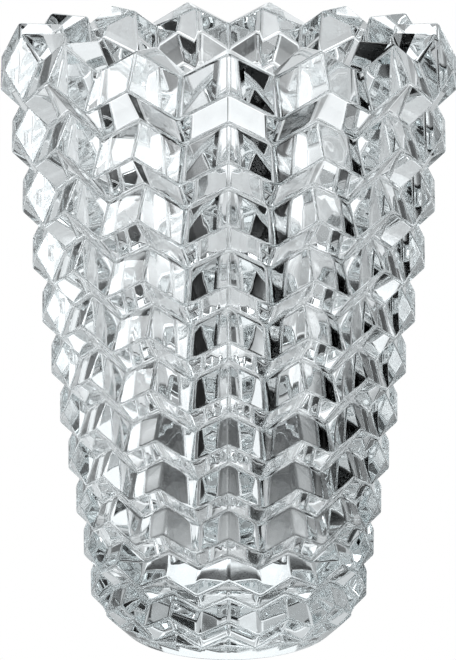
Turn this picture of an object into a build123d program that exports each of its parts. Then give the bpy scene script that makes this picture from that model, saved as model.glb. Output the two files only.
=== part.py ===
from build123d import *
import math
import os

# Cut crystal vase: one heavy piece of clear glass. The outside is a slightly tapered body
# cut into rows of leaning facets that zigzag around it, the rim follows the zigzag, and the
# cavity is a plain tapered star, thick at the ridges and thin at the valleys.
# Millimetres, +Z up, origin at the centre of the underside. A ridge column faces -Y.

# Driving dimensions
MAX_RADIUS = 93.5        # radius of the widest ridge corners, on the first row
COLUMNS = 15             # ridge columns around the vase, with a valley column between each pair
ROWS = 12                # rows of facets; the last one is cut away by the foot
FOOT_RADIUS = 44.0       # radius of the flat underside
FOOT_SLOPE = 1.026       # how far the foot bevel widens for each millimetre of height
FIRST_CREST_HEIGHT = 2.57 * MAX_RADIUS    # height of the first row's ridge corners

# Shape of the rows, as fractions of MAX_RADIUS or plain ratios
BODY_TAPER = 0.1565      # radius lost for each millimetre down from the first crest
NOTCH_DEPTH = 0.1053     # how deep the first notch lies inside the body cone
NOTCH_FADE = 0.0188      # how quickly the notches get shallower going down
ROW_PITCH = 0.2771       # height of the first row
ROW_RATIO = 0.9616       # each row's height against the one above it
FACE_SHARE = 0.559       # share of a row's height that its leaning face takes
VALLEY_RATIO = 0.9886    # radius of a valley corner against its ridge corner
ZIGZAG_RISE = 0.1094     # height of a ridge corner over the valley corner beside it

# Rim and cavity, as fractions of MAX_RADIUS
RIM_INNER_VALLEY = 0.842     # radius of the cavity's valley edges at the rim
CAVITY_RIDGE_RATIO = 0.857   # radius of the cavity's ridge edges against its valley edges
CAVITY_TAPER = 0.175         # radius that the cavity loses for each millimetre going down
RIM_FALL = 0.005             # how much lower the rim's inner ridge corner is than its outer one
FLOOR_HEIGHT = 0.41          # height of the cavity's floor over the underside
FLOOR_BEVEL = 0.05           # bevel between the cavity's wall and its floor

SECTORS = 2 * COLUMNS
STEP = math.pi / COLUMNS


def crest(drop):
    """Radius of a ridge corner that lies this far below the first crest, all in max radii."""
    return 1 - BODY_TAPER * drop


def row_rings():
    """(radius, height) of each row's notch and crest ridge corners, from the rim down, in mm."""
    rings = []
    drop = 0.0
    for row in range(ROWS):
        pitch = ROW_PITCH * ROW_RATIO ** row
        notch_drop = drop - FACE_SHARE * pitch
        notch = crest(notch_drop) - NOTCH_DEPTH + NOTCH_FADE * notch_drop
        rings.append((notch * MAX_RADIUS, FIRST_CREST_HEIGHT - notch_drop * MAX_RADIUS))
        rings.append((crest(drop) * MAX_RADIUS, FIRST_CREST_HEIGHT - drop * MAX_RADIUS))
        drop += pitch
    return rings


def at(sector, radius, height):
    """Point on the ridge or valley line of this sector; sector 0 is the ridge facing -Y."""
    angle = sector * STEP
    return Vector(radius * math.sin(angle), -radius * math.cos(angle), height)


def outer_corner(sector, ring):
    """Corner of a row's ring: valleys are a little closer in and lower than ridges."""
    radius, height = ring
    if sector % 2 == 0:
        return at(sector, radius, height)
    return at(sector, radius * VALLEY_RATIO, height - radius * ZIGZAG_RISE)


def cavity_radius(sector, height, rim_height):
    """Radius of the star-shaped cavity on a ridge or valley line at this height."""
    valley = RIM_INNER_VALLEY * MAX_RADIUS - CAVITY_TAPER * (rim_height - height)
    return valley * CAVITY_RIDGE_RATIO if sector % 2 == 0 else valley


def rim_plane(rim_ring):
    """Plane of the rim facet between the front ridge and the valley next to it."""
    ridge_out = outer_corner(0, rim_ring)
    valley_out = outer_corner(1, rim_ring)
    rim_height = rim_ring[1]
    ridge_in = at(0, cavity_radius(0, rim_height, rim_height), rim_height - RIM_FALL * MAX_RADIUS)
    return Plane(ridge_out, x_dir=valley_out - ridge_out,
                 z_dir=(valley_out - ridge_out).cross(ridge_in - ridge_out))


def inner_corner(sector, rim_ring, plane):
    """Corner of the rim's inner edge: the cavity's edge line cut by the rim facet's plane."""
    rim_height = rim_ring[1]
    kind = sector % 2
    high = at(kind, cavity_radius(kind, rim_height, rim_height), rim_height)
    low_height = rim_height - MAX_RADIUS
    low = at(kind, cavity_radius(kind, low_height, rim_height), low_height)
    along = low - high
    share = (plane.origin - high).dot(plane.z_dir) / along.dot(plane.z_dir)
    corner = high + along * share
    radius = math.hypot(corner.X, corner.Y)
    return at(sector, radius, corner.Z)


def face_of(*corners):
    """Flat face through these corners, in order."""
    return Face(Wire.make_polygon(list(corners), close=True))


def facetted_shell(levels):
    """Faces between each pair of neighbouring levels, one flat facet for each sector."""
    faces = []
    for upper, lower in zip(levels, levels[1:]):
        for sector in range(SECTORS):
            after = (sector + 1) % SECTORS
            faces.append(face_of(upper[sector], lower[sector], lower[after], upper[after]))
    return faces


def vase_blank(rings):
    """Body with its rim and its cavity, still with the last row uncut at the bottom."""
    rim_ring = rings[0]
    rim_height = rim_ring[1]
    plane = rim_plane(rim_ring)
    floor = FLOOR_HEIGHT * MAX_RADIUS
    bevel = FLOOR_BEVEL * MAX_RADIUS
    levels = [[outer_corner(s, ring) for s in range(SECTORS)] for ring in reversed(rings)]
    levels.append([inner_corner(s, rim_ring, plane) for s in range(SECTORS)])
    wall_end = [cavity_radius(s, floor + bevel, rim_height) for s in range(SECTORS)]
    levels.append([at(s, wall_end[s], floor + bevel) for s in range(SECTORS)])
    valley_end = cavity_radius(1, floor + bevel, rim_height)
    floor_scale = (valley_end - bevel) / valley_end
    levels.append([at(s, wall_end[s] * floor_scale, floor) for s in range(SECTORS)])
    faces = facetted_shell(levels)
    faces.append(face_of(*levels[-1]))
    # The last ring zigzags, so the blank is closed below by triangles to one point on the axis,
    # far enough down for the foot to cut them all away.
    tip = Vector(0, 0, -MAX_RADIUS)
    bottom = levels[0]
    for sector in range(SECTORS):
        faces.append(face_of(bottom[sector], tip, bottom[(sector + 1) % SECTORS]))
    return Solid(Shell(faces))


def foot_envelope():
    """Turned solid that cuts the foot: flat underside, bevel of about 45 degrees, then clear."""
    top = FIRST_CREST_HEIGHT + MAX_RADIUS
    wide = 1.5 * MAX_RADIUS
    bevel_top = (wide - FOOT_RADIUS) / FOOT_SLOPE
    outline = [(0, 0), (FOOT_RADIUS, 0), (wide, bevel_top), (wide, top), (0, top)]
    profile = Polyline(*[(radius, 0, height) for radius, height in outline], close=True)
    return revolve(make_face(profile), Axis.Z, 360)


def vase_body():
    """The whole vase: the facetted blank inside the turned foot envelope."""
    return (vase_blank(row_rings()) & foot_envelope()).solid()


vase = vase_body()
os.makedirs("parts", exist_ok=True)
export_step(vase, "parts/vase_body.step")
box = vase.bounding_box()
print("size", box.size, "volume cm3", round(vase.volume / 1000, 1), "valid", vase.is_valid)
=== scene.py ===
"""Cut crystal vase: the looks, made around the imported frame.

The vase is one piece of clear crystal. Its outside is a tensor surface of rows and columns of
corners, joined by flat facets with small polished rounds, and its cavity is a plain tapered star.
"""
import math

import bpy
import numpy as np
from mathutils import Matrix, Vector


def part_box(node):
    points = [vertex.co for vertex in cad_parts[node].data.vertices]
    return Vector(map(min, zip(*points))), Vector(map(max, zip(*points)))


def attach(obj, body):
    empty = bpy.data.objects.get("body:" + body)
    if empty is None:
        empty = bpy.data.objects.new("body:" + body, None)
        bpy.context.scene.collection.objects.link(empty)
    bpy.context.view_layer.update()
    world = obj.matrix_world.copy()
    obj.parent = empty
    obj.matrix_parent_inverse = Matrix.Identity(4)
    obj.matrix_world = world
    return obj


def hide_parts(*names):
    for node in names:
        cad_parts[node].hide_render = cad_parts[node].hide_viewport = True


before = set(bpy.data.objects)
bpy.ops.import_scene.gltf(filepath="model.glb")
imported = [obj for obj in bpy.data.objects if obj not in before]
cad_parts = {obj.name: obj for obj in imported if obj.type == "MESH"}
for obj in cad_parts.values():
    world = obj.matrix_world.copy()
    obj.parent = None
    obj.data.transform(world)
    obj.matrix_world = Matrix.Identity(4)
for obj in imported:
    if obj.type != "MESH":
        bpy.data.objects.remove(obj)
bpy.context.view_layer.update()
BODY_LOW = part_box("vase_body")[0]

bl_info = {
    "name": "Cut Crystal Vase",
    "version": (1, 0, 0),
    "blender": (4, 5, 0),
    "location": "View3D > Sidebar > Crystal Vase",
    "description": "Makes a cut crystal vase, its clear glass and a pale studio around it",
    "category": "Object",
}

MM = 0.001
MAX_RADIUS = -BODY_LOW.y          # a ridge column faces -Y, and its first crest is the widest


# ---------------------------------------------------------------- sizes and colours

class VaseShape(bpy.types.PropertyGroup):
    """Shape of the cut rows, the rim, the cavity and the foot; ratios are to the widest radius."""

    columns: bpy.props.IntProperty(
        name="Ridge columns", description="Ridges around the vase, with a valley between each pair",
        default=15, min=5, max=40)
    rows: bpy.props.IntProperty(
        name="Rows", description="Rows of facets; the foot cuts the last one away", default=12,
        min=3, max=30)
    crest_height: bpy.props.FloatProperty(
        name="First crest height", description="Height of the first row's ridge corners",
        default=2.57 * MAX_RADIUS, unit="LENGTH", subtype="DISTANCE")
    taper: bpy.props.FloatProperty(
        name="Body taper", description="Radius lost for each unit of height going down",
        default=0.1565)
    notch_depth: bpy.props.FloatProperty(
        name="Notch depth", description="Depth of the first notch inside the body cone",
        default=0.1053)
    notch_fade: bpy.props.FloatProperty(
        name="Notch fade", description="How quickly the notches get shallower going down",
        default=0.0188)
    pitch: bpy.props.FloatProperty(
        name="Row pitch", description="Height of the first row", default=0.2771)
    pitch_ratio: bpy.props.FloatProperty(
        name="Row ratio", description="Height of each row against the one above", default=0.9616)
    face_share: bpy.props.FloatProperty(
        name="Face share", description="Share of a row's height that its leaning face takes",
        default=0.559)
    valley_ratio: bpy.props.FloatProperty(
        name="Valley ratio", description="Radius of a valley corner against its ridge corner",
        default=0.9886)
    zigzag_rise: bpy.props.FloatProperty(
        name="Zigzag rise", description="Height of a ridge corner over the valley corner beside it",
        default=0.1094)
    cavity_valley: bpy.props.FloatProperty(
        name="Cavity valley", description="Radius of the cavity's valley edges at the rim",
        default=0.842)
    cavity_ridge: bpy.props.FloatProperty(
        name="Cavity ridge", description="Radius of the cavity's ridge edges against its valleys",
        default=0.857)
    cavity_taper: bpy.props.FloatProperty(
        name="Cavity taper", description="Radius the cavity loses for each unit going down",
        default=0.175)
    rim_fall: bpy.props.FloatProperty(
        name="Rim fall", description="How much lower the rim's inner ridge corner is than its "
        "outer one", default=0.005)
    floor_height: bpy.props.FloatProperty(
        name="Floor height", description="Height of the cavity's floor", default=0.41)
    floor_bevel: bpy.props.FloatProperty(
        name="Floor bevel", description="Bevel between the cavity's wall and floor", default=0.05)
    foot_radius: bpy.props.FloatProperty(
        name="Foot radius", description="Radius of the flat underside", default=44 * MM,
        unit="LENGTH", subtype="DISTANCE")
    foot_slope: bpy.props.FloatProperty(
        name="Foot slope", description="How far the foot's bevel widens for each unit of height",
        default=1.026)


class VaseEdges(bpy.types.PropertyGroup):
    """How far the polished rounds reach back from each kind of edge."""

    ridge: bpy.props.FloatProperty(
        name="Ridges", description="Round of the upright ridges between facets", default=1.2 * MM,
        unit="LENGTH", subtype="DISTANCE")
    valley: bpy.props.FloatProperty(
        name="Valleys", description="Round of the upright valleys between facets",
        default=1.4 * MM, unit="LENGTH", subtype="DISTANCE")
    crest: bpy.props.FloatProperty(
        name="Crests", description="Round of each row's lower, outer edge", default=1.2 * MM,
        unit="LENGTH", subtype="DISTANCE")
    notch: bpy.props.FloatProperty(
        name="Notches", description="Round of the deep edge between two rows", default=1.6 * MM,
        unit="LENGTH", subtype="DISTANCE")
    rim: bpy.props.FloatProperty(
        name="Rim", description="Round of the rim's edges", default=1.2 * MM, unit="LENGTH",
        subtype="DISTANCE")
    floor: bpy.props.FloatProperty(
        name="Floor", description="Round where the cavity's wall meets its floor",
        default=4.0 * MM, unit="LENGTH", subtype="DISTANCE")
    foot: bpy.props.FloatProperty(
        name="Foot", description="Round of the foot's lower edge", default=1.2 * MM,
        unit="LENGTH", subtype="DISTANCE")


class VaseGlass(bpy.types.PropertyGroup):
    """Clear lead crystal."""

    ior: bpy.props.FloatProperty(
        name="Refractive index", description="How strongly the crystal bends light", default=1.60)
    tint: bpy.props.FloatVectorProperty(
        name="Tint", description="Colour of light after a metre of crystal",
        default=(0.80, 0.90, 0.92), size=3, subtype="COLOR", min=0.0, max=1.0)
    tint_density: bpy.props.FloatProperty(
        name="Tint density", description="How much of the tint each metre of crystal takes up",
        default=2.0, min=0.0)
    ripple: bpy.props.FloatProperty(
        name="Ripple", description="Depth of the faint waves that pressing leaves in the cavity",
        default=0.08 * MM, unit="LENGTH", subtype="DISTANCE")
    ripple_size: bpy.props.FloatProperty(
        name="Ripple size", description="Width of those waves", default=8 * MM, unit="LENGTH",
        subtype="DISTANCE")
    ripple_stretch: bpy.props.FloatProperty(
        name="Ripple stretch", description="How much taller than wide the waves are", default=3.0,
        min=1.0)


# ---------------------------------------------------------------- the vase's surface

ARC_STEPS = 4            # straight steps that stand for each small round
FLAT_POINTS = 1          # extra points across each flat
LONGEST_SHARE = 0.49     # a round never takes more than this share of an edge
INNER_RING = 0.5         # place of the ring inside the underside and the floor, against their edge
KNEE_ROUND = 0.6         # round of the foot's upper edge, against a crest's
LAST_NOTCH_ROUND = 0.7   # round of the last notch, just over the foot, against another notch's


def ring_points(angles, radii, heights):
    """Points at these angles around +Z, counted from -Y towards +X, as an array of rows x, y, z."""
    radii = np.broadcast_to(radii, angles.shape)
    heights = np.broadcast_to(heights, angles.shape)
    return np.stack([radii * np.sin(angles), -radii * np.cos(angles), heights], axis=-1)


def row_rings(shape):
    """Radius and height of each row's notch and crest on a ridge column, from the rim down.

    Crests lie on a cone. Each row is a fixed ratio of the height of the row above it, and a notch
    lies inside the cone by a depth that fades going down.
    """
    rows = np.arange(shape.rows)
    pitches = shape.pitch * shape.pitch_ratio ** rows
    crest_drop = np.concatenate([[0.0], np.cumsum(pitches)[:-1]])
    notch_drop = crest_drop - shape.face_share * pitches
    crest = 1 - shape.taper * crest_drop
    notch = 1 - (shape.taper - shape.notch_fade) * notch_drop - shape.notch_depth
    radii = np.stack([notch, crest], axis=-1).ravel() * MAX_RADIUS
    drops = np.stack([notch_drop, crest_drop], axis=-1).ravel() * MAX_RADIUS
    return radii, shape.crest_height - drops


class VaseCorners:
    """Sharp corners of the vase, level by level: each level has one corner on every column."""

    def __init__(self, shape):
        self.shape = shape
        self.count = 2 * shape.columns
        self.is_ridge = np.arange(self.count) % 2 == 0
        self.angles = np.arange(self.count) * math.pi / shape.columns
        self.radii, self.heights = row_rings(shape)
        self.floor = shape.floor_height * MAX_RADIUS

    def outer(self, ring):
        """A zigzag ring of the outside: valleys are a little closer in, and lower by a fixed
        share of the radius, so that every facet between two rings is flat."""
        radius, height = self.radii[ring], self.heights[ring]
        return ring_points(
            self.angles,
            np.where(self.is_ridge, radius, radius * self.shape.valley_ratio),
            np.where(self.is_ridge, height, height - radius * self.shape.zigzag_rise))

    def cavity_radii(self, height):
        """Radius of the star-shaped cavity on each column: it shrinks evenly going down, and its
        ridges keep the same ratio to its valleys, so that its walls are flat."""
        valley = (self.shape.cavity_valley * MAX_RADIUS
                  - self.shape.cavity_taper * (self.heights[0] - height))
        return np.where(self.is_ridge, valley * self.shape.cavity_ridge, valley)

    def cavity(self, height):
        """A level ring of the cavity's star."""
        return ring_points(self.angles, self.cavity_radii(height), height)

    def rim_inside(self):
        """The rim's inner zigzag: each cavity edge cut by the plane of the flat rim facet between
        the front ridge and the valley beside it, then repeated around."""
        rim = self.outer(0)
        top, low = self.cavity(self.heights[0]), self.cavity(self.heights[0] - MAX_RADIUS)
        ridge_inside = top[0] - np.array([0.0, 0.0, self.shape.rim_fall * MAX_RADIUS])
        normal = np.cross(rim[1] - rim[0], ridge_inside - rim[0])
        share = ((rim[0] - top[:2]) @ normal) / ((low[:2] - top[:2]) @ normal)
        cut = top[:2] + (low[:2] - top[:2]) * share[:, None]
        radii = np.hypot(cut[:, 0], cut[:, 1])
        which = np.arange(self.count) % 2
        return ring_points(self.angles, radii[which], cut[which, 2])

    def floor_ring(self):
        """The cavity floor's star: the wall's end scaled in by the bevel."""
        bevel = self.shape.floor_bevel * MAX_RADIUS
        radii = self.cavity_radii(self.floor + bevel)
        return ring_points(self.angles, radii * (1 - bevel / radii.max()), self.floor)


def towards(points, others, reach):
    """Points moved by this reach towards the others, at most nearly half way."""
    gap = np.linalg.norm(others - points, axis=-1)
    share = np.minimum(reach / gap, LONGEST_SHARE)
    return points + (others - points) * share[:, None]


def parabolic_arc(start, corner, end, t):
    """Parabola from start to end that both edges of the corner touch, at each t from 0 to 1:
    (1-t)^2 start + 2 t (1-t) corner + t^2 end."""
    return (1 - t) ** 2 * start + 2 * t * (1 - t) * corner + t ** 2 * end


def rounded_ring(corners, ridge_round, valley_round):
    """The closed zigzag through the corners with each corner replaced by a parabolic arc.

    An arc starts and ends the round's length from its corner, so the flats beside it stay flat and
    run smoothly into it.
    """
    before, after = np.roll(corners, 1, axis=0), np.roll(corners, -1, axis=0)
    reach = np.where(np.arange(len(corners)) % 2 == 0, ridge_round, valley_round)
    start = towards(corners, before, reach)
    end = towards(corners, after, reach)
    t = np.linspace(0, 1, ARC_STEPS + 1)[None, :, None]
    arcs = parabolic_arc(start[:, None], corners[:, None], end[:, None], t)
    share = (np.arange(1, FLAT_POINTS + 1) / (FLAT_POINTS + 1))[None, :, None]
    flats = end[:, None] * (1 - share) + np.roll(start, -1, axis=0)[:, None] * share
    return np.concatenate([arcs, flats], axis=1).reshape(-1, 3)


def rounded_levels(levels, rounds):
    """Grid of points up a stack of levels, with the corner at each level replaced by the same
    kind of parabolic arc as around a ring; a level with no round keeps its own points."""
    grid = []
    last = len(levels) - 1
    for k, (level, reach) in enumerate(zip(levels, rounds)):
        end = level
        if reach > 0:
            start = towards(level, levels[k - 1], reach)
            end = towards(level, levels[k + 1], reach)
            t = np.linspace(0, 1, ARC_STEPS + 1)[:, None, None]
            grid.append(parabolic_arc(start, level, end, t))
        else:
            grid.append(level[None])
        if k < last:
            next_start = towards(levels[k + 1], level, rounds[k + 1])
            share = (np.arange(1, FLAT_POINTS + 1) / (FLAT_POINTS + 1))[:, None, None]
            grid.append(end * (1 - share) + next_start * share)
    return np.concatenate(grid)


def grid_rows(rounds):
    """Rows that levels with these rounds take in the grid, with the flats between them."""
    arcs = sum(ARC_STEPS + 1 if reach > 0 else 1 for reach in rounds)
    return arcs + FLAT_POINTS * (len(rounds) - 1)


def inner_ring(ring):
    """The same ring nearer to the axis, at the same height."""
    return ring * (INNER_RING, INNER_RING, 1.0)


def foot_knee(upper, lower, foot_radius, foot_slope):
    """Where each line from upper to lower meets the foot's cone, radius = foot_radius + slope *
    height: the root of a quadratic in the share of the way down."""
    way = lower - upper
    reach = foot_radius + foot_slope * upper[:, 2]
    rise = foot_slope * way[:, 2]
    a = way[:, 0] ** 2 + way[:, 1] ** 2 - rise ** 2
    b = 2 * (upper[:, 0] * way[:, 0] + upper[:, 1] * way[:, 1] - reach * rise)
    c = upper[:, 0] ** 2 + upper[:, 1] ** 2 - reach ** 2
    root = np.sqrt(np.maximum(b * b - 4 * a * c, 0))
    shares = np.stack([(-b + root) / (2 * a), (-b - root) / (2 * a)])
    inside = (shares > 0) & (shares < 1)
    share = np.where(inside[0], shares[0], shares[1])
    return upper + way * share[:, None]


def vase_surface(shape, edges):
    """Grid of points of the whole skin, from the underside out, up the cut rows, over the rim and
    down the cavity to its floor, the two axis points that close it, and the grid's first row
    past the rim. Rings of corners alternate between notches, which are even, and crests, which
    are odd, from ring 0 at the rim down; the foot's cone cuts the last row."""
    corners = VaseCorners(shape)

    def ring(sharp):
        return rounded_ring(sharp, edges.ridge, edges.valley)

    last_notch, last_crest = ring(corners.outer(-2)), ring(corners.outer(-1))
    angles = np.arctan2(last_notch[:, 0], -last_notch[:, 1])
    foot = ring_points(angles, shape.foot_radius, 0.0)
    knee = foot_knee(last_notch, last_crest, shape.foot_radius, shape.foot_slope)
    outside = [
        (inner_ring(foot), 0.0),
        (foot, edges.foot),
        (knee, edges.crest * KNEE_ROUND),
        (last_notch, edges.notch * LAST_NOTCH_ROUND),
    ]
    for index in range(2 * shape.rows - 3, 0, -1):
        outside.append((ring(corners.outer(index)), edges.crest if index % 2 else edges.notch))
    outside += [
        (ring(corners.outer(0)), edges.rim),
        (ring(corners.rim_inside()), edges.rim),
    ]
    floor = ring(corners.floor_ring())
    inside = [
        (ring(corners.cavity(corners.floor + shape.floor_bevel * MAX_RADIUS)), edges.floor),
        (floor, edges.floor),
        (inner_ring(floor), 0.0),
    ]
    grid = rounded_levels(*zip(*outside, *inside))
    cavity_row = grid_rows([reach for _, reach in outside])
    return grid, np.zeros(3), np.array([0.0, 0.0, corners.floor]), cavity_row


# ---------------------------------------------------------------- meshes

CAVITY_MARK = "cavity_skin"      # vertex attribute: 1 on the cavity's skin, 0 on the outside


def capped_grid_mesh(name, grid, first_point, last_point, cavity_row):
    """Closed mesh of a grid that wraps around, with a fan to one point at each end, and a mark on
    its points from the cavity's row on.

    A point's normal is the sum of its faces' normals, each times its area, so that the large flats
    stay flat and only the small rounds turn the light.
    """
    levels, around = grid.shape[:2]
    points = np.concatenate([first_point[None], grid.reshape(-1, 3), last_point[None]])
    level, column = np.meshgrid(np.arange(levels - 1), np.arange(around), indexing="ij")
    here = 1 + level * around + column
    beside = 1 + level * around + (column + 1) % around
    quads = np.stack([here, beside, beside + around, here + around], axis=-1).reshape(-1, 4)
    column = np.arange(around)
    start = 1 + column
    start_next = 1 + (column + 1) % around
    end = (levels - 1) * around
    last = len(points) - 1
    fans = np.concatenate([
        np.stack([np.zeros(around, int), start_next, start], axis=-1),
        np.stack([np.full(around, last), end + start, end + start_next], axis=-1)])
    mesh = bpy.data.meshes.new(name)
    mesh.from_pydata(points.tolist(), [], quads.tolist() + fans.tolist())
    mesh.update()
    mesh.shade_smooth()
    quad_normals = np.cross(points[quads[:, 2]] - points[quads[:, 0]],
                            points[quads[:, 3]] - points[quads[:, 1]])
    fan_normals = np.cross(points[fans[:, 1]] - points[fans[:, 0]],
                           points[fans[:, 2]] - points[fans[:, 0]])
    normals = np.zeros_like(points)
    for corner in range(4):
        np.add.at(normals, quads[:, corner], quad_normals)
    for corner in range(3):
        np.add.at(normals, fans[:, corner], fan_normals)
    normals /= np.linalg.norm(normals, axis=1, keepdims=True)
    mesh.normals_split_custom_set_from_vertices(normals.tolist())
    mark = mesh.attributes.new(CAVITY_MARK, "FLOAT", "POINT")
    mark.data.foreach_set("value", (np.arange(len(points)) > cavity_row * around).astype(float))
    return mesh


def link(name, mesh, material):
    """Puts a mesh with its material into the scene as an object at the origin."""
    piece = bpy.data.objects.new(name, mesh)
    bpy.context.scene.collection.objects.link(piece)
    mesh.materials.append(material)
    return piece


# ---------------------------------------------------------------- materials

def crystal_material(glass):
    """Clear crystal: a smooth refracting skin, with a faint noise ripple on Object coordinates
    where it is pressed and not polished, and a slight cool absorption that thick parts show."""
    material = bpy.data.materials.new("clear_crystal")
    material.use_nodes = True
    nodes, links = material.node_tree.nodes, material.node_tree.links
    shader = nodes["Principled BSDF"]
    shader.inputs["Base Color"].default_value = (1.0, 1.0, 1.0, 1.0)
    shader.inputs["Roughness"].default_value = 0.0
    shader.inputs["Transmission Weight"].default_value = 1.0
    shader.inputs["IOR"].default_value = glass.ior
    place = nodes.new("ShaderNodeTexCoord")
    stretch = nodes.new("ShaderNodeMapping")
    stretch.inputs["Scale"].default_value = (1.0, 1.0, 1 / glass.ripple_stretch)
    ripple = nodes.new("ShaderNodeTexNoise")
    ripple.inputs["Scale"].default_value = 1 / glass.ripple_size
    ripple.inputs["Detail"].default_value = 1.0
    cavity = nodes.new("ShaderNodeAttribute")
    cavity.attribute_name = CAVITY_MARK
    pressed = nodes.new("ShaderNodeMath")
    pressed.operation = "MULTIPLY"
    bump = nodes.new("ShaderNodeBump")
    bump.inputs["Strength"].default_value = 1.0
    bump.inputs["Distance"].default_value = glass.ripple
    links.new(place.outputs["Object"], stretch.inputs["Vector"])
    links.new(stretch.outputs["Vector"], ripple.inputs["Vector"])
    links.new(ripple.outputs["Fac"], pressed.inputs[0])
    links.new(cavity.outputs["Fac"], pressed.inputs[1])
    links.new(pressed.outputs["Value"], bump.inputs["Height"])
    links.new(bump.outputs["Normal"], shader.inputs["Normal"])
    absorption = nodes.new("ShaderNodeVolumeAbsorption")
    absorption.inputs["Color"].default_value = (*glass.tint, 1.0)
    absorption.inputs["Density"].default_value = glass.tint_density
    links.new(absorption.outputs["Volume"], nodes["Material Output"].inputs["Volume"])
    return material


# ---------------------------------------------------------------- the studio

SENSOR_HEIGHT = 24.0     # millimetres, as the camera's own setting takes it
NEAREST_SEEN = 10 * MM
FLOOR_GAP = 0.05 * MM    # the floor lies just under the vase, so that their faces never coincide
PRINT_GAMMA = 0.85       # deepens the greys and leaves white as it is
LIGHT_BOUNCES = 32       # crystal this deeply cut passes light through many skins
BRIGHTEST_GLINT = 2.5    # limit on light that comes through the crystal, against stray sparkles


class StudioSettings(bpy.types.PropertyGroup):
    """The pale floor, the dome of soft light and the camera."""

    seen_color: bpy.props.FloatVectorProperty(
        name="Backdrop", description="Colour of the floor and of the dome as the camera sees them",
        size=3, default=(1.0, 1.0, 1.0), subtype="COLOR", min=0.0, max=1.0)
    light_color: bpy.props.FloatVectorProperty(
        name="Light", description="Colour of the studio's light", size=3,
        default=(0.955, 0.985, 1.0), subtype="COLOR", min=0.0, max=1.0)
    dome_light: bpy.props.FloatProperty(
        name="Dome's light", description="Brightness of the bare dome between its panels",
        default=0.52, min=0.0)
    floor_light: bpy.props.FloatProperty(
        name="Floor's light", description="Brightness of the bare floor between its pools",
        default=0.75, min=0.0)
    edge_share: bpy.props.FloatProperty(
        name="Soft edges", description="Share of a panel's or pool's size that its soft edge takes "
        "on each side", default=0.25, min=0.01, max=0.9)
    floor_reach: bpy.props.FloatProperty(
        name="Floor reach", description="From the vase to the edge of the floor", default=8.0,
        unit="LENGTH", subtype="DISTANCE")
    camera_distance: bpy.props.FloatProperty(
        name="Camera distance", description="From the vase's axis to the camera, along the floor",
        default=11.52 * MAX_RADIUS, unit="LENGTH", subtype="DISTANCE")
    camera_height: bpy.props.FloatProperty(
        name="Camera height", description="Camera's height over the floor",
        default=4.133 * MAX_RADIUS, unit="LENGTH", subtype="DISTANCE")
    camera_pitch: bpy.props.FloatProperty(
        name="Camera pitch", description="How far the camera looks down",
        default=math.radians(13.47), subtype="ANGLE", unit="ROTATION")
    camera_lens: bpy.props.FloatProperty(
        name="Lens", description="Focal length for a sensor 24 mm high", default=97.36,
        unit="CAMERA")
    camera_shift: bpy.props.FloatProperty(
        name="Shift", description="Sideways lens shift, as a share of the picture's height",
        default=-0.0011)


# Soft-edged round areas of the dome: softboxes where bright, black flags where dark. Each has its
# azimuth from -Y towards +X, its elevation and the half angle it covers, all in degrees, and its
# brightness. Later ones lie over earlier ones. The values were searched for by a program, together
# with those of the floor's pools, and then rounded.
DOME_PANELS = {
    "back_glow": (178, 10, 24, 1.15),
    "right_flag": (30, 43, 33, 0.0),
    "far_right_flag": (105, 26, 21, 0.0),
    "front_softbox": (10, 45, 13, 6.5),
    "left_softbox": (-99, 26, 10, 7.0),
    "overhead_softbox": (-60, 88, 20, 1.9),
    "back_flag": (180, 51, 30, 0.0),
    "left_front_flag": (-61, 9, 10, 0.0),
    "front_flag": (12, 36, 9, 0.0),
    "back_right_flag": (154, 15, 9, 0.0),
    "right_low_card": (39, -4, 13, 3.0),
    "left_high_card": (-62, 41, 9, 2.3),
    "back_left_card": (-165, 32, 10, 1.0),
}

# Soft-edged round pools of light or shade on the floor: the azimuth and distance of the pool's
# middle from the vase's axis, its radius, and its brightness. Lengths are in widest radii.
FLOOR_POOLS = {
    "right_half": (67, 12, 12, 0.27),
    "right_shade": (79, 3.7, 3.7, 0.0),
    "foot_shade": (0, 0, 1.35, 0.08),
    "back_pool": (168, 2.4, 0.8, 1.25),
    "front_pool": (0, 1.6, 1.6, 0.7),
    "left_pool": (-89, 2.3, 1.65, 1.1),
    "far_left_shade": (-77, 8.9, 4.4, 0.0),
    "far_back_pool": (180, 8.3, 3.1, 1.4),
    "far_front_shade": (-6, 6.2, 2.0, 0.4),
    "far_right_pool": (90, 12, 3.0, 0.8),
}


def direction(azimuth, elevation):
    """Unit vector at this azimuth, from -Y towards +X, and elevation, both in radians."""
    level = math.cos(elevation)
    return Vector((level * math.sin(azimuth), -level * math.cos(azimuth), math.sin(elevation)))


def soft_disc(nodes, links, place, operation, middle, outer, inner, below, brightness):
    """Lays an even disc of this brightness over what is below it. The disc's edge is a smooth step
    of the dot product with, or distance from, its middle, and goes from outer to inner."""
    measure = nodes.new("ShaderNodeVectorMath")
    measure.operation = operation
    measure.inputs[1].default_value = middle
    mask = nodes.new("ShaderNodeMapRange")
    mask.interpolation_type = "SMOOTHSTEP"
    mask.inputs["From Min"].default_value = outer
    mask.inputs["From Max"].default_value = inner
    mix = nodes.new("ShaderNodeMix")
    mix.inputs["B"].default_value = brightness
    links.new(place, measure.inputs[0])
    links.new(measure.outputs["Value"], mask.inputs["Value"])
    links.new(mask.outputs["Result"], mix.inputs["Factor"])
    links.new(below, mix.inputs["A"])
    return mix.outputs["Result"]


def even_light(nodes, brightness):
    """Brightness that everything else lies over."""
    value = nodes.new("ShaderNodeValue")
    value.outputs["Value"].default_value = brightness
    return value.outputs["Value"]


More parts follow.
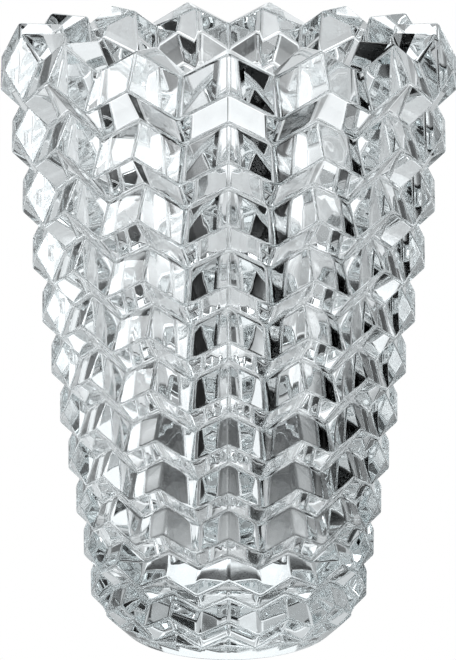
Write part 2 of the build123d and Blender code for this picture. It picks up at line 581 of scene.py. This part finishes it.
def studio_light(nodes, links, shader, strength, studio):
    """Gives a light-emitting shader this strength in the light colour, except straight to the
    camera, which sees the even backdrop colour."""
    path = nodes.new("ShaderNodeLightPath")
    lit = nodes.new("ShaderNodeVectorMath")
    lit.operation = "SCALE"
    lit.inputs[0].default_value = studio.light_color
    seen = nodes.new("ShaderNodeMix")
    seen.data_type = "RGBA"
    seen.inputs["B"].default_value = (*studio.seen_color, 1.0)
    links.new(strength, lit.inputs["Scale"])
    links.new(lit.outputs["Vector"], seen.inputs["A"])
    links.new(path.outputs["Is Camera Ray"], seen.inputs["Factor"])
    links.new(seen.outputs["Result"], shader.inputs["Color"])


def make_dome(studio):
    """World light: an even dome with the panels over it."""
    world = bpy.data.worlds.new("studio_dome")
    bpy.context.scene.world = world
    world.use_nodes = True
    nodes, links = world.node_tree.nodes, world.node_tree.links
    place = nodes.new("ShaderNodeTexCoord").outputs["Generated"]
    light = even_light(nodes, studio.dome_light)
    for azimuth, elevation, half_angle, brightness in DOME_PANELS.values():
        middle = direction(math.radians(azimuth), math.radians(elevation))
        outer = math.cos(math.radians(half_angle * (1 + studio.edge_share)))
        inner = math.cos(math.radians(half_angle * (1 - studio.edge_share)))
        light = soft_disc(nodes, links, place, "DOT_PRODUCT", middle, outer, inner, light,
                          brightness)
    studio_light(nodes, links, nodes["Background"], light, studio)


def floor_material(studio):
    """Pale floor that looks even to the camera, and lights the vase with its pools."""
    material = bpy.data.materials.new("pale_floor")
    material.use_nodes = True
    nodes, links = material.node_tree.nodes, material.node_tree.links
    nodes.remove(nodes["Principled BSDF"])
    glow = nodes.new("ShaderNodeEmission")
    place = nodes.new("ShaderNodeTexCoord").outputs["Object"]
    light = even_light(nodes, studio.floor_light)
    for azimuth, distance, radius, brightness in FLOOR_POOLS.values():
        middle = direction(math.radians(azimuth), 0.0) * distance * MAX_RADIUS
        outer = radius * MAX_RADIUS * (1 + studio.edge_share)
        inner = radius * MAX_RADIUS * (1 - studio.edge_share)
        light = soft_disc(nodes, links, place, "DISTANCE", middle, outer, inner, light,
                          brightness)
    studio_light(nodes, links, glow, light, studio)
    links.new(glow.outputs["Emission"], nodes["Material Output"].inputs["Surface"])
    return material


def make_floor(studio):
    """Square floor under the vase."""
    corners = np.array([(-1, -1), (1, -1), (1, 1), (-1, 1)]) * studio.floor_reach
    points = np.column_stack([corners, np.full(4, -FLOOR_GAP)])
    mesh = bpy.data.meshes.new("studio_floor")
    mesh.from_pydata(points.tolist(), [], [(0, 1, 2, 3)])
    mesh.update()
    return link("studio_floor", mesh, floor_material(studio))


def make_camera(studio):
    """Camera in front of the vase, looking a little down on it."""
    data = bpy.data.cameras.new("studio_camera")
    data.sensor_fit = "VERTICAL"
    data.sensor_height = SENSOR_HEIGHT
    data.lens = studio.camera_lens
    data.shift_x = studio.camera_shift
    data.clip_start = NEAREST_SEEN
    camera = bpy.data.objects.new("studio_camera", data)
    bpy.context.scene.collection.objects.link(camera)
    camera.location = (0.0, -studio.camera_distance, studio.camera_height)
    camera.rotation_euler = (math.pi / 2 - studio.camera_pitch, 0.0, 0.0)
    bpy.context.scene.camera = camera


# ---------------------------------------------------------------- operators and panel

class VASE_OT_make_body(bpy.types.Operator):
    """Makes the cut crystal vase in place of the plain CAD body"""

    bl_idname = "vase.make_body"
    bl_label = "Make vase"

    def execute(self, context):
        scene = context.scene
        surface = vase_surface(scene.vase_shape, scene.vase_edges)
        mesh = capped_grid_mesh("cut_crystal_body", *surface)
        body = link("cut_crystal_body", mesh, crystal_material(scene.vase_glass))
        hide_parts("vase_body")
        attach(body, "root")
        return {"FINISHED"}


class VASE_OT_make_stage(bpy.types.Operator):
    """Makes the pale floor, the soft dome of light and the camera"""

    bl_idname = "vase.make_stage"
    bl_label = "Make studio"

    def execute(self, context):
        scene = context.scene
        make_floor(scene.vase_studio)
        make_dome(scene.vase_studio)
        make_camera(scene.vase_studio)
        scene.view_settings.view_transform = "Standard"
        scene.view_settings.gamma = PRINT_GAMMA
        scene.cycles.max_bounces = LIGHT_BOUNCES
        scene.cycles.transmission_bounces = LIGHT_BOUNCES
        scene.cycles.glossy_bounces = LIGHT_BOUNCES
        scene.cycles.sample_clamp_indirect = BRIGHTEST_GLINT
        return {"FINISHED"}


class VIEW3D_PT_crystal_vase(bpy.types.Panel):
    """Sidebar panel with the vase's sizes and the buttons that make it"""

    bl_idname = "VIEW3D_PT_crystal_vase"
    bl_label = "Cut Crystal Vase"
    bl_space_type = "VIEW_3D"
    bl_region_type = "UI"
    bl_category = "Crystal Vase"

    def draw(self, context):
        scene = context.scene
        for operator, groups in (
            (VASE_OT_make_body, (scene.vase_shape, scene.vase_edges, scene.vase_glass)),
            (VASE_OT_make_stage, (scene.vase_studio,)),
        ):
            box = self.layout.box()
            for group in groups:
                for name in group.__annotations__:
                    box.prop(group, name)
            box.operator(operator.bl_idname)


GROUPS = {
    "vase_shape": VaseShape,
    "vase_edges": VaseEdges,
    "vase_glass": VaseGlass,
    "vase_studio": StudioSettings,
}
CLASSES = (*GROUPS.values(), VASE_OT_make_body, VASE_OT_make_stage, VIEW3D_PT_crystal_vase)


def register():
    """Adds the classes to Blender, and the settings to every scene."""
    for cls in CLASSES:
        bpy.utils.register_class(cls)
    for name, group in GROUPS.items():
        setattr(bpy.types.Scene, name, bpy.props.PointerProperty(type=group))


def unregister():
    """Takes the settings and the classes out again."""
    for name in GROUPS:
        delattr(bpy.types.Scene, name)
    for cls in reversed(CLASSES):
        bpy.utils.unregister_class(cls)


def main():
    register()
    bpy.ops.vase.make_body()
    bpy.ops.vase.make_stage()


if __name__ == "__main__":
    main()
